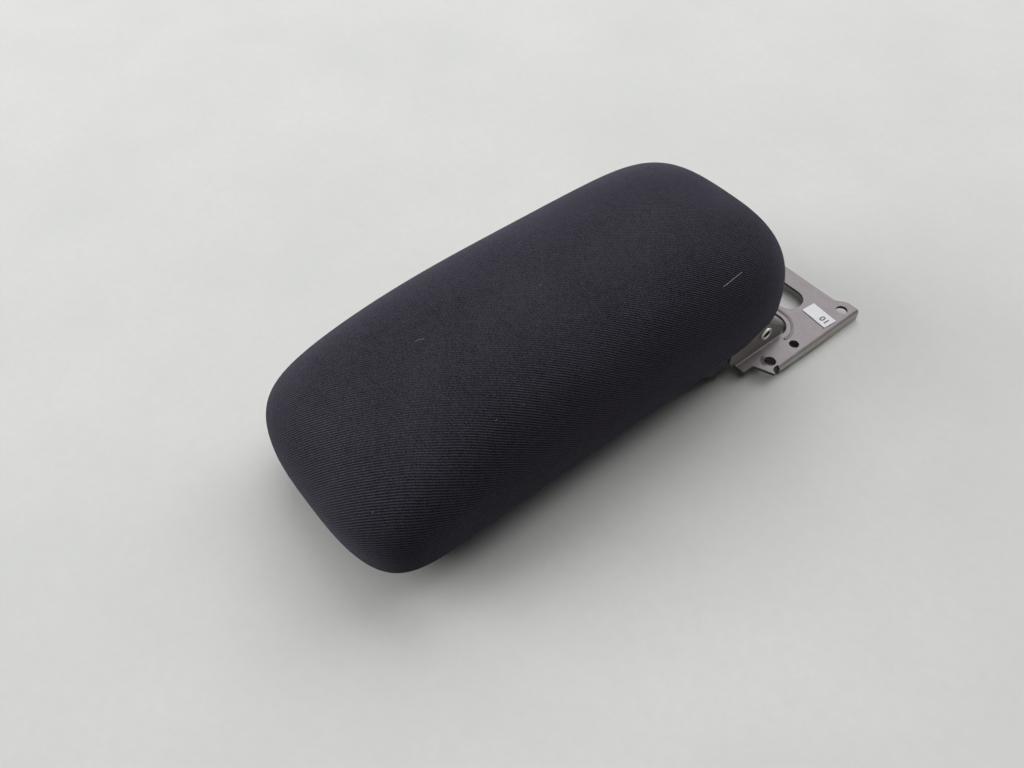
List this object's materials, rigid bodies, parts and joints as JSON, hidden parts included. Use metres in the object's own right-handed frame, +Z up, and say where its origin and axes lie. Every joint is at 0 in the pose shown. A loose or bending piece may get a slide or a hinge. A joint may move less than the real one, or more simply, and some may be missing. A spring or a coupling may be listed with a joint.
{
  "type": "car armrest",
  "caption": "Padded fabric armrest for a car's centre console, pinned to a stamped steel hinge bracket and tilting up at the front.",
  "frame": {"origin": "middle of the overall box, at the height of the surface the part stands on", "axes": "+Z up, X across the width, -Y towards the pad's front end, +Y towards the bracket's rear edge"},
  "size_m": [0.1662, 0.3464, 0.0966],
  "materials": {
    "woven_fabric": "fine twill weave, matt, charcoal",
    "foam": "open-cell foam, matt",
    "black_plastic": "moulded, fine grain",
    "grey_plastic": "moulded, matt",
    "bracket_steel": "stamped sheet, satin purple-grey plating",
    "frame_steel": "stamped sheet, plain",
    "bright_steel": "bright plated",
    "screw_steel": "zinc plated",
    "nylon": "moulded, natural",
    "rubber": "moulded, matt",
    "paper": "matt white label"
  },
  "bodies": {
    "bracket": {"base_bracket": "bracket_steel", "paper_label": "paper", "hinge_pin_left": "bright_steel", "hinge_pin_right": "bright_steel"},
    "armrest": {"carrier_pan": "grey_plastic", "cover_screw_1": "screw_steel", "cover_screw_2": "screw_steel", "cover_screw_3": "screw_steel", "cover_screw_4": "screw_steel", "fabric_cover": "woven_fabric", "foam_pad": "foam", "frame_screw_1": "screw_steel", "frame_screw_2": "screw_steel", "frame_screw_3": "screw_steel", "frame_screw_4": "screw_steel", "hinge_frame": "frame_steel", "hinge_shroud": "black_plastic", "lower_cover": "black_plastic", "pivot_bush_left": "nylon", "pivot_bush_right": "nylon", "rubber_stop_left": "rubber", "rubber_stop_right": "rubber", "shroud_screw_1": "screw_steel", "shroud_screw_2": "screw_steel", "thrust_washer_left": "bright_steel", "thrust_washer_right": "bright_steel", "wave_washer_left": "bright_steel", "wave_washer_right": "bright_steel"}
  },
  "joints": [
    {"name": "armrest_tilt", "type": "hinge", "parent": "bracket", "child": "armrest", "pos_m": [0, 0.1021, 0.0205], "axis": [-1, 0, 0], "range_deg": [0, 26]}
  ]
}
